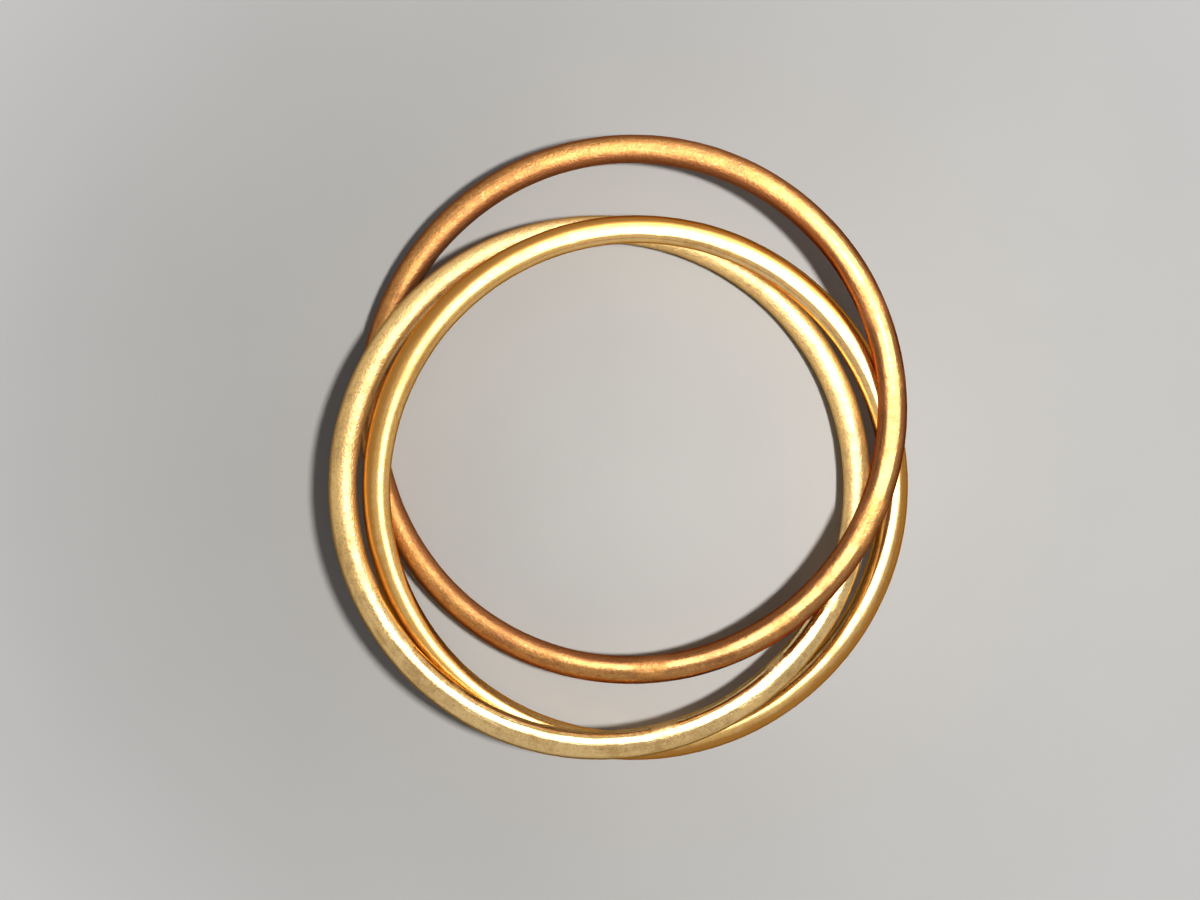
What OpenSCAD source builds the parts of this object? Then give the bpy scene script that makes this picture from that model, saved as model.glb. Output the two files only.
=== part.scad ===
// Three linked metal rings, lying in a shallow stack as they settle on a flat surface.
//
// The rest surface is z = 0, +Z is up, and the origin is the middle of the stack's
// bounding box in plan. Each ring is one closed loop of round rod: a circle of
// centreline around its own axis, tilted and set down so that the rods pass over
// and under one another without touching.

/* [Rod and rings] */
// Diameter of the round rod that every ring is made of (mm)
rod_diameter = 4; // [3:0.1:4.2]
// Outside diameter of the outer brass ring (mm)
outer_brass_diameter = 79.2; // [74:0.1:84]
// Outside diameter of the inner brass ring (mm)
inner_brass_diameter = 80; // [74:0.1:84]
// Outside diameter of the copper ring (mm)
copper_diameter = 80; // [74:0.1:84]

/* [Outer brass ring as laid] */
// Centre of the outer brass ring, left to right (mm)
outer_brass_x = -2.65; // [-6:0.05:2]
// Centre of the outer brass ring, front to back (mm)
outer_brass_y = -4.48; // [-8:0.01:0]
// Height of the outer brass ring's centre above the surface (mm)
outer_brass_z = 5.16; // [4:0.01:8]
// Tilt of the outer brass ring about the left to right line (degrees)
outer_brass_tilt_x = -3.24; // [-8:0.01:8]
// Tilt of the outer brass ring about the front to back line (degrees)
outer_brass_tilt_y = 3.56; // [-8:0.01:8]

/* [Inner brass ring as laid] */
// Centre of the inner brass ring, left to right (mm)
inner_brass_x = 2.25; // [-2:0.05:6]
// Centre of the inner brass ring, front to back (mm)
inner_brass_y = -6.03; // [-10:0.01:-2]
// Height of the inner brass ring's centre above the surface (mm)
inner_brass_z = 4.75; // [4:0.01:8]
// Tilt of the inner brass ring about the left to right line (degrees)
inner_brass_tilt_x = 3.33; // [-8:0.01:8]
// Tilt of the inner brass ring about the front to back line (degrees)
inner_brass_tilt_y = 2.47; // [-8:0.01:8]

/* [Copper ring as laid] */
// Centre of the copper ring, left to right (mm)
copper_x = 0.19; // [-4:0.01:4]
// Centre of the copper ring, front to back (mm)
copper_y = 5.98; // [2:0.01:10]
// Height of the copper ring's centre above the surface (mm)
copper_z = 5.12; // [4:0.01:8]
// Tilt of the copper ring about the left to right line (degrees)
copper_tilt_x = 0.61; // [-8:0.01:8]
// Tilt of the copper ring about the front to back line (degrees)
copper_tilt_y = -4.67; // [-8:0.01:8]

/* [Hidden] */
rod_r = rod_diameter / 2;

// A closed ring of round rod, flat on the XY plane and centred on the origin.
module rod_ring(outside_diameter) {
    rotate_extrude($fn = 240)
        translate([outside_diameter / 2 - rod_r, 0])
            circle(r = rod_r, $fn = 64);
}

// Sets a ring down: first the tilts about its own centre, then the move.
module laid(x, y, z, tilt_x, tilt_y) {
    translate([x, y, z])
        rotate([tilt_x, tilt_y, 0])
            children();
}

module outer_brass_ring() {
    color([0.80, 0.66, 0.38])
        laid(outer_brass_x, outer_brass_y, outer_brass_z, outer_brass_tilt_x, outer_brass_tilt_y)
            rod_ring(outer_brass_diameter);
}

module inner_brass_ring() {
    color([0.85, 0.64, 0.28])
        laid(inner_brass_x, inner_brass_y, inner_brass_z, inner_brass_tilt_x, inner_brass_tilt_y)
            rod_ring(inner_brass_diameter);
}

module copper_ring() {
    color([0.66, 0.42, 0.27])
        laid(copper_x, copper_y, copper_z, copper_tilt_x, copper_tilt_y)
            rod_ring(copper_diameter);
}

outer_brass_ring();
inner_brass_ring();
copper_ring();
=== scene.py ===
"""Three linked metal rings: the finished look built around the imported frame.

Each ring is a closed loop of round rod that was bent, brazed shut and filed by hand. The
script swaps the plain rings of the frame for worn ones with the same centre, tilt and
size, gives each its metal, and sets them on a pale floor. The lamps are placed for their
highlights: nothing mirrors the key lamp, and the card and spark lamp are only mirrored.
"""

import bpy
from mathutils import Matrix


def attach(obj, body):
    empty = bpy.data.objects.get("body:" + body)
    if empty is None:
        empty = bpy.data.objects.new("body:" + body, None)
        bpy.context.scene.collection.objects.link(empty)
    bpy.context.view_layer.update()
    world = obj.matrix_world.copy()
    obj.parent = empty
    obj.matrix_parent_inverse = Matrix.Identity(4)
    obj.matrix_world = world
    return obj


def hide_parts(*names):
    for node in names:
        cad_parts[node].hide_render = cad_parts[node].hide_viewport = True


bl_info = {
    "name": "Linked metal rings",
    "version": (1, 0, 0),
    "blender": (4, 5, 0),
    "location": "3D View > Sidebar > Rings",
    "description": "Builds three linked rings of brass and copper rod and their stage",
    "category": "Object",
}

import math
import random

import bmesh
import bpy
import numpy as np
from bpy.props import FloatProperty, FloatVectorProperty, IntProperty, PointerProperty
from bpy.types import Operator, Panel, PropertyGroup
from mathutils import Matrix, Vector

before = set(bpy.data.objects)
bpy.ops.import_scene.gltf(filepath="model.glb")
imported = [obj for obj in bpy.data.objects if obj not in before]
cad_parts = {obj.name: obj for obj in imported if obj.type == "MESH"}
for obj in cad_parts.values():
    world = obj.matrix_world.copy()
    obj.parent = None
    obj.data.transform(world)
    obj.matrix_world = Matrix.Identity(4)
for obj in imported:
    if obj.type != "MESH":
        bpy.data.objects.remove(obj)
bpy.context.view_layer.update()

MM = 0.001

# Names of the mesh attributes that the metals read.
WAY_ROUND_RING = "way_round_ring"
WAY_ROUND_ROD = "way_round_rod"


# ---------------------------------------------------------------- settings


def tint(name, description, default):
    return FloatVectorProperty(
        name=name, description=description, default=default, subtype="COLOR", min=0, max=1
    )


def length(name, description, default):
    return FloatProperty(
        name=name, description=description, default=default, subtype="DISTANCE", min=0,
        precision=5,
    )


def share(name, description, default):
    return FloatProperty(
        name=name, description=description, default=default, subtype="FACTOR", min=0, max=1
    )


def bearing(name, description, degrees):
    return FloatProperty(
        name=name, description=description, default=math.radians(degrees), subtype="ANGLE"
    )


class OuterBrassSettings(PropertyGroup):
    metal: tint("Metal", "Clean brass of the outer ring", (0.98, 0.68, 0.28))
    # This dull colour is both patina in patches and painted shade on the rod's flanks.
    tarnish_and_flank_shade: tint("Tarnish", "Dull film on the outer ring", (0.50, 0.31, 0.12))
    rubbed: tint("Rubbed", "Bare metal in scratches and flecks", (1.0, 0.83, 0.50))
    satin: share("Satin roughness", "Roughness on the unrubbed side", 0.46)
    gloss: share("Rubbed roughness", "Roughness on the side polished by handling", 0.13)
    # This bearing also places the paler colour that paints the highlight.
    polished_highlight_side: bearing("Rubbed side", "Bearing of the most handled side", -85)
    tarnish_cover: share("Tarnish cover", "How much of the rod the dull film covers", 0.35)
    speckle: share("Speckle", "Contrast of the fine sandy speckle", 0.50)
    # Lean and edge place a lighter top face, a painted highlight, with painted shade on the flanks.
    lean: bearing("Rubbed lean", "How far the rubbed face leans to the inside", 20)
    lit_face_edge: share("Rubbed edge", "How narrow the rubbed face is round the rod", 0.25)
    grain: length("Grain depth", "Depth of the drawn grain along the rod", 0.000010)
    dimples: length("Dimple depth", "Depth of the sandy texture", 0.000120)
    joint: bearing("Brazed joint", "Bearing of the line where the rod ends meet", 178.5)
    seed: IntProperty(name="Seed", description="Picks the wear pattern", default=11, min=0)


class InnerBrassSettings(PropertyGroup):
    metal: tint("Metal", "Clean brass of the inner ring", (0.98, 0.62, 0.20))
    # This dull colour is both patina in patches and painted shade on the rod's flanks.
    tarnish_and_flank_shade: tint("Tarnish", "Dull film on the inner ring", (0.55, 0.275, 0.07))
    rubbed: tint("Rubbed", "Bare metal in scratches and flecks", (1.0, 0.88, 0.58))
    satin: share("Satin roughness", "Roughness on the unrubbed side", 0.24)
    gloss: share("Rubbed roughness", "Roughness on the side polished by handling", 0.17)
    # This bearing also places the paler colour that paints the highlight.
    polished_highlight_side: bearing("Rubbed side", "Bearing of the most handled side", 20)
    tarnish_cover: share("Tarnish cover", "How much of the rod the dull film covers", 0.25)
    speckle: share("Speckle", "Contrast of the fine sandy speckle", 0.15)
    # Lean and edge place a lighter top face, a painted highlight, with painted shade on the flanks.
    lean: bearing("Rubbed lean", "How far the rubbed face leans to the inside", 38)
    lit_face_edge: share("Rubbed edge", "How narrow the rubbed face is round the rod", 0.60)
    grain: length("Grain depth", "Depth of the drawn grain along the rod", 0.000004)
    dimples: length("Dimple depth", "Depth of the sandy texture", 0.000010)
    joint: bearing("Brazed joint", "Bearing of the line where the rod ends meet", 12)
    seed: IntProperty(name="Seed", description="Picks the wear pattern", default=23, min=0)


class CopperSettings(PropertyGroup):
    metal: tint("Metal", "Clean copper", (0.62, 0.30, 0.085))
    # This dull colour is both patina in patches and painted shade on the rod's flanks.
    tarnish_and_flank_shade: tint("Tarnish", "Brown film on the copper", (0.30, 0.12, 0.045))
    rubbed: tint("Rubbed", "Bare metal in scratches and flecks", (0.82, 0.50, 0.23))
    satin: share("Satin roughness", "Roughness on the unrubbed side", 0.44)
    gloss: share("Rubbed roughness", "Roughness on the side polished by handling", 0.16)
    # This bearing also places the paler colour that paints the highlight.
    polished_highlight_side: bearing("Rubbed side", "Bearing of the most handled side", -30)
    tarnish_cover: share("Tarnish cover", "How much of the rod the dull film covers", 0.40)
    speckle: share("Speckle", "Contrast of the fine sandy speckle", 0.50)
    # Lean and edge place a lighter top face, a painted highlight, with painted shade on the flanks.
    lean: bearing("Rubbed lean", "How far the rubbed face leans to the inside", 6)
    lit_face_edge: share("Rubbed edge", "How narrow the rubbed face is round the rod", 0.66)
    grain: length("Grain depth", "Depth of the drawn grain along the rod", 0.000010)
    dimples: length("Dimple depth", "Depth of the sandy texture", 0.000100)
    joint: bearing("Brazed joint", "Bearing of the line where the rod ends meet", 168.6)
    seed: IntProperty(name="Seed", description="Picks the wear pattern", default=37, min=0)


class StageSettings(PropertyGroup):
    floor: tint("Floor", "Colour of the plain floor", (0.38, 0.375, 0.365))
    camera_height: length("Camera height", "Height of the lens above the floor", 0.1169)
    camera_x: FloatProperty(
        name="Camera X", description="Lens position, left to right", default=-0.00343,
        subtype="DISTANCE",
    )
    camera_y: FloatProperty(
        name="Camera Y", description="Lens position, front to back", default=0.00021,
        subtype="DISTANCE",
    )
    key_power: FloatProperty(
        name="Key power", description="Power of the lamp behind the clear shadows", default=0.34, min=0
    )
    card_power: FloatProperty(
        name="Card power", description="Power of the round card that the metal mirrors",
        default=0.100, min=0,
    )
    spark_power: FloatProperty(
        name="Spark power", description="Power of the small lamp that the metal glints in",
        default=0.012, min=0,
    )
    fill_power: FloatProperty(
        name="Fill power", description="Power of the soft panel high to one side",
        default=0.12, min=0,
    )
    room: FloatProperty(
        name="Room light", description="Brightness of the matt light that the room gives",
        default=0.02, min=0,
    )
    mirrored_room: FloatProperty(
        name="Mirrored room", description="Brightness of the room as the metal mirrors it",
        default=0.58, min=0,
    )
    backdrop: FloatProperty(
        name="Backdrop", description="Brightness of the pale surround in view", default=0.5, min=0
    )


class RingsSettings(PropertyGroup):
    outer_brass: PointerProperty(type=OuterBrassSettings)
    inner_brass: PointerProperty(type=InnerBrassSettings)
    copper: PointerProperty(type=CopperSettings)
    stage: PointerProperty(type=StageSettings)


# ------------------------------------------------------------------- rings

ROD_SIDES = 64  # faces round the rod
SPIN_STEPS = 360  # faces round the ring as first spun
SPIN_CUTS = 3  # cuts that then divide each of those

WAVE_DEPTH = 0.016 * MM  # slow unevenness from bending and filing
JOINT_SKEW = 0.12 * MM  # how far the braze line strays along the rod
WAIST_DEPTH = 0.030 * MM  # what filing took off all round the rod at the braze
WAIST_REACH = 1.8 * MM
GROOVE_DEPTH = 0.012 * MM  # the groove at each side of the braze
GROOVE_REACH = 0.16 * MM
GROOVE_OFFSET = 0.30 * MM
SMALL_DENTS = 26  # on each ring


class Seat:
    """Where a ring of the frame lies and how big it is, read from its own vertices."""

    def __init__(self, node_name):
        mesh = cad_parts[node_name].data
        points = np.empty(len(mesh.vertices) * 3)
        mesh.vertices.foreach_get("co", points)
        points = np.unique(points.reshape(-1, 3).round(7), axis=0)
        centre = (points.min(axis=0) + points.max(axis=0)) / 2
        offsets = points - centre
        _, directions = np.linalg.eigh(offsets.T @ offsets)
        axis = directions[:, 0] * np.sign(directions[2, 0])
        heights = offsets @ axis
        reaches = np.linalg.norm(offsets - np.outer(heights, axis), axis=1)
        self.rod_radius = float(heights.max() - heights.min()) / 2
        self.bend_radius = float(reaches.max()) - self.rod_radius
        up = Vector(axis)
        right = (Vector((1, 0, 0)) - up * up.x).normalized()
        self.matrix = Matrix.Translation(Vector(centre)) @ Matrix(
            (right, up.cross(right), up)
        ).transposed().to_4x4()


def edge_turn(edge):
    """The angle about the ring's axis that an edge covers."""
    a, b = (vert.co.to_2d() for vert in edge.verts)
    return a.angle_signed(b)


def turned_rod(seat):
    """A closed ring of round rod about the local Z axis, as a bmesh."""
    bm = bmesh.new()
    bmesh.ops.create_circle(bm, cap_ends=False, segments=ROD_SIDES, radius=seat.rod_radius)
    upright = Matrix.Translation((seat.bend_radius, 0, 0)) @ Matrix.Rotation(math.pi / 2, 4, "X")
    bmesh.ops.transform(bm, matrix=upright, verts=bm.verts[:])
    bmesh.ops.spin(
        bm, geom=bm.verts[:] + bm.edges[:], cent=(0, 0, 0), axis=(0, 0, 1), dvec=(0, 0, 0),
        angle=math.tau, steps=SPIN_STEPS, use_merge=True, use_normal_flip=False,
        use_duplicate=False,
    )
    lengthwise = [edge for edge in bm.edges if abs(edge_turn(edge)) > 0.5 * math.tau / SPIN_STEPS]
    bmesh.ops.subdivide_edges(bm, edges=lengthwise, cuts=SPIN_CUTS, use_grid_fill=True)
    bmesh.ops.recalc_face_normals(bm, faces=bm.faces[:])
    if any(not edge.is_manifold for edge in bm.edges):
        raise RuntimeError("the ring's rod is not closed")
    return bm


# The clear knocks of the outer brass ring: bearing round the ring and place round the rod in
# degrees, width and depth in mm, slant in degrees, length in widths.
OUTER_BRASS_KNOCKS = (
    (-51.9, 116, 0.18, 0.055, 48, 2.4),
    (-51.0, 116, 0.18, 0.055, -48, 2.4),
    (72.5, 132, 0.20, 0.060, 84, 4.0),
    (152.0, 138, 0.34, 0.060, 20, 1.3),
)


def hand_wear(seat, settings, ring_angle, rod_angle, knocks):
    """How far each point sits below the perfect rod, in metres: never above it."""
    draw = random.Random(settings.seed)
    depth = np.zeros_like(ring_angle)

    # Slow unevenness from bending and filing by hand.
    for waves in (2, 3, 5, 8, 13, 21, 34):
        turns = draw.choice((0, 1, 2, 3))
        phase = draw.uniform(0, math.tau)
        size = WAVE_DEPTH * draw.uniform(0.6, 1.0) / (1 + waves / 12)
        depth += size * (1 + np.sin(waves * ring_angle + turns * rod_angle + phase))

    # The brazed joint: a filed waist round the rod, with a groove at each side of the braze.
    skew = JOINT_SKEW * np.sin(rod_angle + draw.uniform(0, math.tau))
    swing = np.angle(np.exp(1j * (ring_angle - settings.joint)))
    along = swing * seat.bend_radius + skew
    depth += WAIST_DEPTH * np.exp(-((along / WAIST_REACH) ** 2))
    for side in (-GROOVE_OFFSET, GROOVE_OFFSET):
        depth += GROOVE_DEPTH * np.exp(-(((along - side) / GROOVE_REACH) ** 2))

    # Dents and nicks from knocking together: the clear ones, then small ones anywhere.
    dents = [
        (math.radians(at_ring), math.radians(at_rod), width, cut, math.radians(slant), longer)
        for at_ring, at_rod, width, cut, slant, longer in knocks
    ]
    for _ in range(SMALL_DENTS):
        dents.append((
            draw.uniform(0, math.tau), draw.uniform(0, math.tau), draw.uniform(0.22, 0.55),
            draw.uniform(0.012, 0.045), draw.uniform(0, math.pi), draw.uniform(1.0, 2.6),
        ))
    for at_ring, at_rod, width, cut, slant, longer in dents:
        a = np.angle(np.exp(1j * (ring_angle - at_ring))) * seat.bend_radius / MM
        b = np.angle(np.exp(1j * (rod_angle - at_rod))) * seat.rod_radius / MM
        u = (a * math.cos(slant) + b * math.sin(slant)) / (width * longer)
        v = (b * math.cos(slant) - a * math.sin(slant)) / width
        depth += cut * MM * np.exp(-(u * u + v * v))
    return depth


def worn_ring(name, node_name, body, settings, finish, knocks=()):
    """Builds one worn ring over its frame node and sets it on its body."""
    if node_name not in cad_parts:
        raise RuntimeError(f"the frame has no node named {node_name}")
    seat = Seat(node_name)
    bm = turned_rod(seat)
    mesh = bpy.data.meshes.new(name)
    bm.to_mesh(mesh)
    bm.free()

    points = np.empty(len(mesh.vertices) * 3)
    mesh.vertices.foreach_get("co", points)
    points = points.reshape(-1, 3)
    ring_angle = np.arctan2(points[:, 1], points[:, 0])
    spread = np.hypot(points[:, 0], points[:, 1]) - seat.bend_radius
    rod_angle = np.arctan2(points[:, 2], spread)
    radius = seat.rod_radius - hand_wear(seat, settings, ring_angle, rod_angle, knocks)
    reach = seat.bend_radius + radius * np.cos(rod_angle)
    points = np.stack(
        (reach * np.cos(ring_angle), reach * np.sin(ring_angle), radius * np.sin(rod_angle)),
        axis=1,
    )
    mesh.vertices.foreach_set("co", points.ravel())
    for attribute_name, angle in ((WAY_ROUND_RING, ring_angle), (WAY_ROUND_ROD, rod_angle)):
        attribute = mesh.attributes.new(attribute_name, "FLOAT_VECTOR", "POINT")
        ways = np.stack((np.cos(angle), np.sin(angle), np.zeros_like(angle)), axis=1)
        attribute.data.foreach_set("vector", ways.ravel())
    mesh.transform(seat.matrix)
    mesh.shade_smooth()
    mesh.update()

    ring = bpy.data.objects.new(name, mesh)
    bpy.context.scene.collection.objects.link(ring)
    mesh.materials.append(finish)
    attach(ring, body)
    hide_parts(node_name)


# ------------------------------------------------------------------ metals

WIDE_PATCH, CLOSE_PATCH = 11 * MM, 1.5 * MM  # the film's two sizes of patch
POLISHED_PATCH = 7 * MM  # unevenness of the handled side
SAND, FLECK = 0.36 * MM, 0.50 * MM  # the sandy texture and its bright spots
BRAZE_LINE = (0.06 * MM, 0.20 * MM)  # half widths: fully bright, and faded out
FLANK_SHADE_FADE = 0.4  # how gradually the painted shade on the flanks gives way to the lighter top face
LEAST_ROUGHNESS = 0.08


class Bench:
    """A material's node tree, with short calls that add one node each and return its output."""

    def __init__(self, name):
        self.material = bpy.data.materials.new(name)
        self.material.use_nodes = True
        self.tree = self.material.node_tree
        self.tree.nodes.clear()

    def add(self, kind, inputs=(), **options):
        """Adds one node: an input that is a socket is linked, any other is set."""
        node = self.tree.nodes.new(kind)
        for key, value in options.items():
            setattr(node, key, value)
        for key, value in dict(inputs).items():
            if isinstance(value, bpy.types.NodeSocket):
                self.tree.links.new(value, node.inputs[key])
            else:
                node.inputs[key].default_value = value
        return node

    def math(self, operation, a, b=0.0, clamp=False):
        node = self.add("ShaderNodeMath", {0: a, 1: b}, operation=operation, use_clamp=clamp)
        return node.outputs[0]

    def sum(self, *terms):
        """The sum of value times weight over (value, weight) pairs."""
        total = None
        for value, weight in terms:
            term = self.math("MULTIPLY", value, weight)
            total = term if total is None else self.math("ADD", total, term)
        return total

    def moved(self, vector, distance):
        """The same place shifted far enough for a pattern to look like another."""
        node = self.add(
            "ShaderNodeMapping", {"Vector": vector, "Location": (distance, 0.6 * distance, 0)}
        )
        return node.outputs[0]

    def step(self, value, low, high, to_low=0.0, to_high=1.0):
        """value taken smoothly from low..high to to_low..to_high."""
        node = self.add(
            "ShaderNodeMapRange",
            {"Value": value, "From Min": low, "From Max": high, "To Min": to_low,
             "To Max": to_high},
            interpolation_type="SMOOTHSTEP",
        )
        return node.outputs["Result"]

    def blend(self, share_of_b, a, b):
        """Colour a turned into colour b."""
        node = self.add(
            "ShaderNodeMix", {0: share_of_b, 6: a, 7: b}, data_type="RGBA", blend_type="MIX"
        )
        return node.outputs[2]

    def noise(self, vector, size, detail=2.0, rough=0.5):
        """Even noise whose features are about `size` metres across."""
        node = self.add(
            "ShaderNodeTexNoise",
            {"Vector": vector, "Scale": 1 / size, "Detail": detail, "Roughness": rough},
        )
        return node.outputs["Fac"]

    def streaks(self, ways, ring_length, rod_length, detail=2.0):
        """Noise drawn out along the ring or round the rod, with no seam anywhere."""
        ring, rod, bend_radius, rod_radius = ways
        node = self.add(
            "ShaderNodeTexNoise",
            {
                "Vector": self.add(
                    "ShaderNodeCombineXYZ",
                    {
                        0: self.math("MULTIPLY", rod[0], rod_radius / rod_length),
                        1: self.math("MULTIPLY", rod[1], rod_radius / rod_length),
                        2: self.math("MULTIPLY", ring[0], bend_radius / ring_length),
                    },
                ).outputs[0],
                "W": self.math("MULTIPLY", ring[1], bend_radius / ring_length),
                "Scale": 1.0,
                "Detail": detail,
            },
            noise_dimensions="4D",
        )
        return node.outputs["Fac"]

    def way(self, attribute_name):
        """The cosine and sine of an angle that the mesh carries."""
        node = self.add("ShaderNodeAttribute", attribute_name=attribute_name)
        parts = self.add("ShaderNodeSeparateXYZ", {0: node.outputs["Vector"]})
        return parts.outputs[0], parts.outputs[1]


def rgba(colour):
    return (*colour, 1.0)


def rod_metal(name, node_name, settings):
    """Drawn rod: metal with patchy patina, painted shade and highlight, grain along the ring, speckle,
    flecks and a joint.
    """
    seat = Seat(node_name)
    bench = Bench(name)
    ring, rod = bench.way(WAY_ROUND_RING), bench.way(WAY_ROUND_ROD)
    ways = (ring, rod, seat.bend_radius, seat.rod_radius)
    place = bench.moved(bench.add("ShaderNodeTexCoord").outputs["Object"], settings.seed * 0.01)

    def facing(angle):
        """1 at this bearing round the ring, -1 opposite it."""
        return bench.sum((ring[0], math.cos(angle)), (ring[1], math.sin(angle)))

    # Patina and painted shade: patches in two sizes, and painted shade covering the rod's flanks,
    # which leaves a lighter face on top, leaning inward, as a painted highlight.
    wide = bench.noise(place, WIDE_PATCH, 3.0, 0.6)
    close = bench.noise(place, CLOSE_PATCH, 4.0, 0.65)
    drawn = bench.streaks(ways, 6 * MM, 0.35 * MM, 3.0)
    edge = 0.62 - 0.28 * settings.tarnish_cover
    patches = bench.step(
        bench.sum((wide, 0.45), (close, 0.35), (drawn, 0.2)), edge - 0.10, edge + 0.12, 0.0, 0.75
    )
    crown = bench.sum(
        (bench.math("ABSOLUTE", rod[1]), math.cos(settings.lean)),
        (rod[0], -math.sin(settings.lean)),
    )
    crown = bench.sum((crown, 1.0), (close, 0.25), (drawn, 0.25), (0.5, -0.5))
    # Painted shade on the flanks; the top face stays lighter as a painted highlight.
    flank_shade = bench.step(crown, settings.lit_face_edge + FLANK_SHADE_FADE, settings.lit_face_edge)
    film_and_flank_shade = bench.math("MAXIMUM", patches, flank_shade)

    # The side polished by handling: really glossier, and also made paler in colour as a painted
    # highlight.
    polished_and_highlit = bench.step(facing(settings.polished_highlight_side), -0.3, 0.8)
    uneven = bench.step(bench.noise(place, POLISHED_PATCH, 3.0), 0.25, 0.55)
    polished_and_highlit = bench.math("MULTIPLY", polished_and_highlit, uneven)

    # Speckle: the fine sandy texture, with dark hollows and bright proud spots.
    sand = bench.noise(place, SAND, 3.0, 0.55)
    hollow = bench.math("MULTIPLY", bench.step(sand, 0.46, 0.34), settings.speckle)
    proud = bench.step(bench.noise(bench.moved(place, 0.31), FLECK, 2.0, 0.5), 0.58, 0.68)
    proud = bench.math("MULTIPLY", proud, settings.speckle)

    # Scratches: fine ones along the ring and a few across the rod.
    scratch = bench.step(bench.streaks(ways, 9 * MM, 0.09 * MM, 1.0), 0.66, 0.72)
    crossing = bench.step(bench.streaks(ways, 0.12 * MM, 2.6 * MM, 1.0), 0.76, 0.81)
    scratches = bench.math("MAXIMUM", scratch, crossing)

    # The braze line where the rod's ends meet, broken by wear.
    off_line = bench.math("ABSOLUTE", facing(settings.joint + math.pi / 2))
    line = [half / seat.bend_radius for half in BRAZE_LINE]
    near_side = bench.step(facing(settings.joint), 0.0, 0.1)
    braze = bench.math("MULTIPLY", bench.step(off_line, *line, 1.0, 0.0), near_side)
    braze = bench.math("MULTIPLY", braze, bench.step(close, 0.35, 0.65, 0.08, 0.42))
    braze = bench.math("MULTIPLY", braze, bench.step(rod[0], 0.1, 0.7))

    # Paler metal in random patches, and on the polished side as a painted highlight.
    bright = bench.step(close, 0.3, 0.7, 0.0, 0.25)
    bright = bench.math("MAXIMUM", bright, bench.math("MULTIPLY", polished_and_highlit, 0.45))
    colour = bench.blend(bright, rgba(settings.metal), rgba(settings.rubbed))
    colour = bench.blend(film_and_flank_shade, colour, rgba(settings.tarnish_and_flank_shade))
    dark = tuple(0.4 * part for part in settings.tarnish_and_flank_shade)
    colour = bench.blend(bench.math("MULTIPLY", hollow, 0.5), colour, rgba(dark))
    proud = bench.math("MULTIPLY", proud, bench.step(film_and_flank_shade, 0.2, 1.0, 0.8, 0.12))
    bare = bench.math("MAXIMUM", proud, bench.math("MULTIPLY", scratches, 0.3))
    bare = bench.math("MAXIMUM", bare, braze)
    colour = bench.blend(bare, colour, rgba(settings.rubbed))

    rough = bench.step(polished_and_highlit, 0.0, 1.0, settings.satin, settings.gloss)
    rough = bench.sum((rough, 1.0), (film_and_flank_shade, 0.10), (proud, -0.15), (drawn, 0.12), (0.5, -0.12))
    rough = bench.math("MAXIMUM", rough, LEAST_ROUGHNESS)

    unpolished = bench.step(polished_and_highlit, 0.0, 1.0, 1.0, 0.15)
    relief = bench.sum(
        (bench.streaks(ways, 3 * MM, 0.14 * MM, 3.0), settings.grain / MM),
        (bench.math("MULTIPLY", sand, unpolished), settings.dimples / MM),
        (bench.noise(place, 2.5 * MM, 2.0), 0.3 * settings.dimples / MM),
        (scratches, -0.4 * settings.grain / MM),
    )
    bump = bench.add("ShaderNodeBump", {"Strength": 1.0, "Distance": MM, "Height": relief})

    shader = bench.add(
        "ShaderNodeBsdfPrincipled",
        {
            "Base Color": colour, "Metallic": 1.0, "Roughness": rough,
            "Specular Tint": rgba(settings.tarnish_and_flank_shade), "Normal": bump.outputs[0],
        },
    )
    bench.add("ShaderNodeOutputMaterial", {"Surface": shader.outputs[0]})
    return bench.material


# ------------------------------------------------------------------- stage

BACKDROP_TINT = (0.98, 0.985, 1.0)
MIRRORED_TINT = (1.0, 0.90, 0.76)
KEY_TINT = (1.0, 0.98, 0.95)
PANEL_TINT = (0.95, 0.98, 1.0)

FLOOR_RADIUS = 3.0  # metres
GLOW_START, GLOW_FULL = 0.020, 0.17  # distances from the origin, in metres

LENS_LENGTH, SENSOR_WIDTH = 22.97, 36.0  # mm
NEAREST, FARTHEST = 0.002, 20.0  # what the lens can see, in metres

# Place, target and size of each lamp, in metres.
KEY_LAMP = ((0.048, -0.004, 0.140), (-0.060, 0.010, 0), 0.018)
MIRRORED_CARD = ((0.0255, 0.0245, 0.050), (0.0255, 0.0245, 0), 0.104)
SPARK_LAMP = ((0.030, 0.022, 0.048), (0.010, 0.007, 0), 0.012)
SOFT_PANEL = ((-0.25, 0.20, 0.70), (0, 0, 0), 0.60)


def floor_paint(settings):
    """Matt pale paint with a glow that starts inside the rings and grows to the backdrop's."""
    bench = Bench("pale_floor_paint")
    place = bench.add("ShaderNodeTexCoord").outputs["Object"]
    far = bench.add("ShaderNodeVectorMath", {0: place}, operation="LENGTH").outputs["Value"]
    lighter = tuple(min(1.0, 1.03 * part) for part in settings.floor)
    colour = bench.blend(
        bench.step(bench.noise(place, 30 * MM, 4.0), 0.3, 0.7), rgba(settings.floor), rgba(lighter)
    )
    shader = bench.add(
        "ShaderNodeBsdfPrincipled",
        {
            "Base Color": colour, "Roughness": 0.85, "Specular IOR Level": 0.2,
            "Emission Color": rgba(BACKDROP_TINT),
            "Emission Strength": bench.step(far, GLOW_START, GLOW_FULL, 0.0, settings.backdrop),
        },
    )
    bench.add("ShaderNodeOutputMaterial", {"Surface": shader.outputs[0]})
    return bench.material


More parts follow.
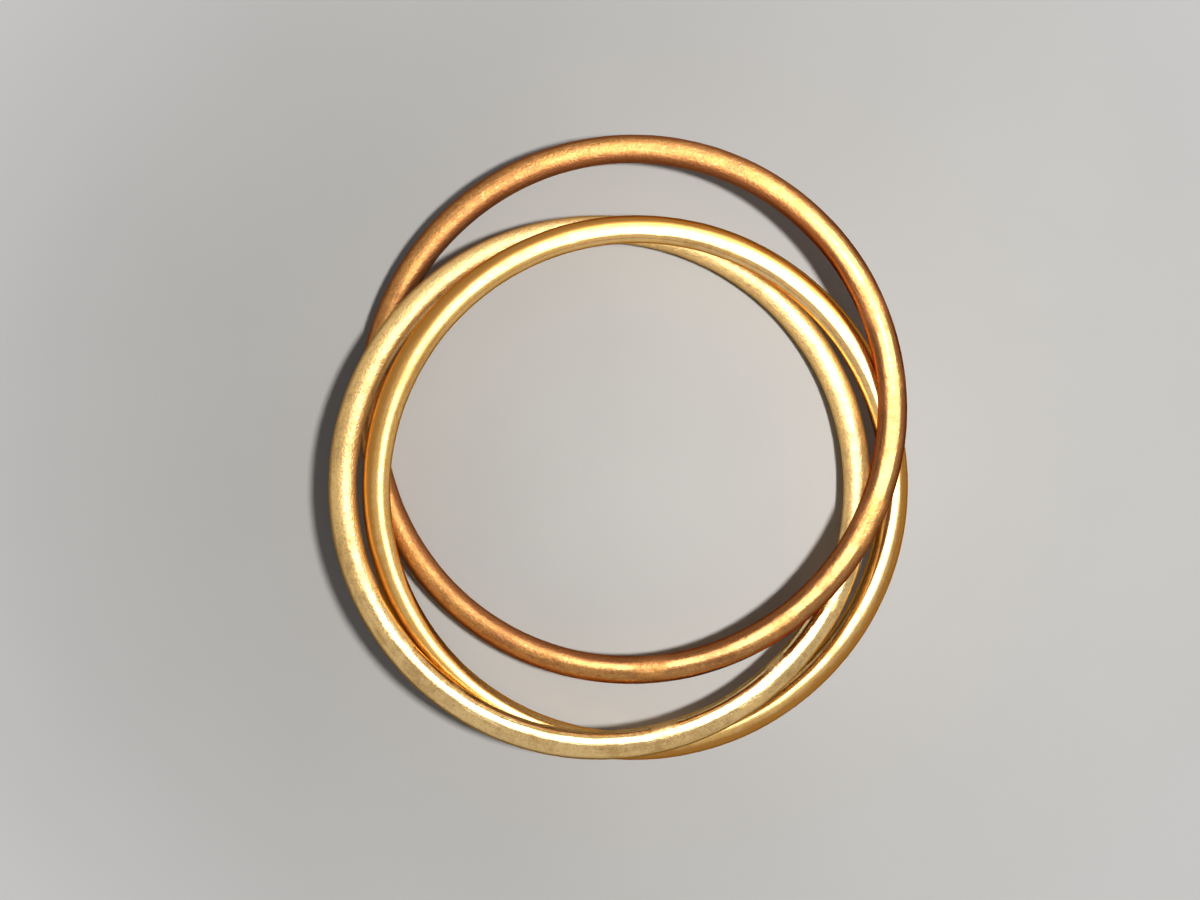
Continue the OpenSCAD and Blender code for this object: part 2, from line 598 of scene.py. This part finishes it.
def plain_floor(settings):
    """A wide round floor at the height that the rings rest on."""
    bm = bmesh.new()
    bmesh.ops.create_circle(bm, cap_ends=True, segments=96, radius=FLOOR_RADIUS)
    mesh = bpy.data.meshes.new("pale_floor")
    bm.to_mesh(mesh)
    bm.free()
    floor = bpy.data.objects.new("pale_floor", mesh)
    bpy.context.scene.collection.objects.link(floor)
    mesh.materials.append(floor_paint(settings))


def panel_lamp(name, setting, power, warmth=(1.0, 1.0, 1.0), shape="DISK"):
    """A flat lamp that the camera doesn't see."""
    place, target, size = setting
    lamp = bpy.data.lights.new(name, "AREA")
    lamp.shape, lamp.size, lamp.energy, lamp.color = shape, size, power, warmth
    holder = bpy.data.objects.new(name, lamp)
    holder.location = place
    holder.rotation_euler = (Vector(target) - Vector(place)).to_track_quat("-Z", "Y").to_euler()
    holder.visible_camera = False
    bpy.context.scene.collection.objects.link(holder)
    return holder


def overhead_camera(settings):
    """A camera straight above, with the rings a little right of the middle of its view."""
    camera = bpy.data.cameras.new("overhead_camera")
    camera.lens, camera.sensor_width = LENS_LENGTH, SENSOR_WIDTH
    camera.clip_start, camera.clip_end = NEAREST, FARTHEST
    holder = bpy.data.objects.new("overhead_camera", camera)
    holder.location = (settings.camera_x, settings.camera_y, settings.camera_height)
    bpy.context.scene.collection.objects.link(holder)
    bpy.context.scene.camera = holder


def room_light(settings):
    """The room: dim as matt light, warm and bright as mirrored light, pale as seen directly."""
    world = bpy.data.worlds.new("room")
    world.use_nodes = True
    tree = world.node_tree
    tree.nodes.clear()
    path = tree.nodes.new("ShaderNodeLightPath")
    seen = None
    for ray, tint_seen, strength in (
        (None, BACKDROP_TINT, settings.room),
        ("Is Glossy Ray", MIRRORED_TINT, settings.mirrored_room),
        ("Is Camera Ray", BACKDROP_TINT, settings.backdrop),
    ):
        background = tree.nodes.new("ShaderNodeBackground")
        background.inputs["Color"].default_value = rgba(tint_seen)
        background.inputs["Strength"].default_value = strength
        if seen is None:
            seen = background
            continue
        mix = tree.nodes.new("ShaderNodeMixShader")
        tree.links.new(path.outputs[ray], mix.inputs[0])
        tree.links.new(seen.outputs[0], mix.inputs[1])
        tree.links.new(background.outputs[0], mix.inputs[2])
        seen = mix
    output = tree.nodes.new("ShaderNodeOutputWorld")
    tree.links.new(seen.outputs[0], output.inputs[0])
    bpy.context.scene.world = world


# --------------------------------------------------------------- operators


class RINGS_OT_outer_brass(Operator):
    """Build the satin brass ring that lies outermost at the left"""

    bl_idname = "rings.outer_brass"
    bl_label = "Outer Brass Ring"
    bl_options = {"REGISTER", "UNDO"}

    def execute(self, context):
        settings = context.scene.rings.outer_brass
        finish = rod_metal("satin_brass_rod", "outer_brass_ring", settings)
        worn_ring(
            "outer_brass_loop", "outer_brass_ring", "outer_brass", settings,
            finish, OUTER_BRASS_KNOCKS,
        )
        return {"FINISHED"}


class RINGS_OT_inner_brass(Operator):
    """Build the glossy brass ring that lies inside the first at the left"""

    bl_idname = "rings.inner_brass"
    bl_label = "Inner Brass Ring"
    bl_options = {"REGISTER", "UNDO"}

    def execute(self, context):
        settings = context.scene.rings.inner_brass
        finish = rod_metal("polished_brass_rod", "inner_brass_ring", settings)
        worn_ring(
            "inner_brass_loop", "inner_brass_ring", "inner_brass", settings,
            finish,
        )
        return {"FINISHED"}


class RINGS_OT_copper(Operator):
    """Build the brown copper ring that lies across both brass rings"""

    bl_idname = "rings.copper"
    bl_label = "Copper Ring"
    bl_options = {"REGISTER", "UNDO"}

    def execute(self, context):
        settings = context.scene.rings.copper
        finish = rod_metal("brown_copper_rod", "copper_ring", settings)
        worn_ring("copper_loop", "copper_ring", "copper", settings, finish)
        return {"FINISHED"}


class RINGS_OT_stage(Operator):
    """Lay the pale floor and set the lamps and the overhead camera"""

    bl_idname = "rings.stage"
    bl_label = "Stage"
    bl_options = {"REGISTER", "UNDO"}

    def execute(self, context):
        settings = context.scene.rings.stage
        plain_floor(settings)
        # The key lamp casts the clear shadows, and nothing mirrors it.
        key = panel_lamp("key_lamp", KEY_LAMP, settings.key_power, KEY_TINT)
        key.visible_glossy = False
        # These two give mirrored light only, so the metal shows them and matt light has none.
        card = panel_lamp("mirrored_card", MIRRORED_CARD, settings.card_power)
        spark = panel_lamp("spark_lamp", SPARK_LAMP, settings.spark_power)
        card.visible_diffuse = spark.visible_diffuse = False
        panel_lamp("soft_panel", SOFT_PANEL, settings.fill_power, PANEL_TINT, "SQUARE")
        room_light(settings)
        overhead_camera(settings)
        context.scene.view_settings.view_transform = "Standard"
        return {"FINISHED"}


BUILD_ORDER = (RINGS_OT_stage, RINGS_OT_outer_brass, RINGS_OT_inner_brass, RINGS_OT_copper)


class RINGS_PT_sidebar(Panel):
    """Lists the steps and their settings"""

    bl_idname = "RINGS_PT_sidebar"
    bl_label = "Linked Metal Rings"
    bl_space_type = "VIEW_3D"
    bl_region_type = "UI"
    bl_category = "Rings"

    def draw(self, context):
        rings = context.scene.rings
        groups = (rings.stage, rings.outer_brass, rings.inner_brass, rings.copper)
        for step, settings in zip(BUILD_ORDER, groups):
            box = self.layout.box()
            box.operator(step.bl_idname)
            for key in settings.__annotations__:
                box.prop(settings, key)


CLASSES = (
    OuterBrassSettings, InnerBrassSettings, CopperSettings, StageSettings, RingsSettings,
    *BUILD_ORDER, RINGS_PT_sidebar,
)


def register():
    for cls in CLASSES:
        bpy.utils.register_class(cls)
    bpy.types.Scene.rings = PointerProperty(type=RingsSettings)


def unregister():
    del bpy.types.Scene.rings
    for cls in reversed(CLASSES):
        bpy.utils.unregister_class(cls)


def main():
    register()
    for step in BUILD_ORDER:
        group, name = step.bl_idname.split(".")
        getattr(getattr(bpy.ops, group), name)()


if __name__ == "__main__":
    main()
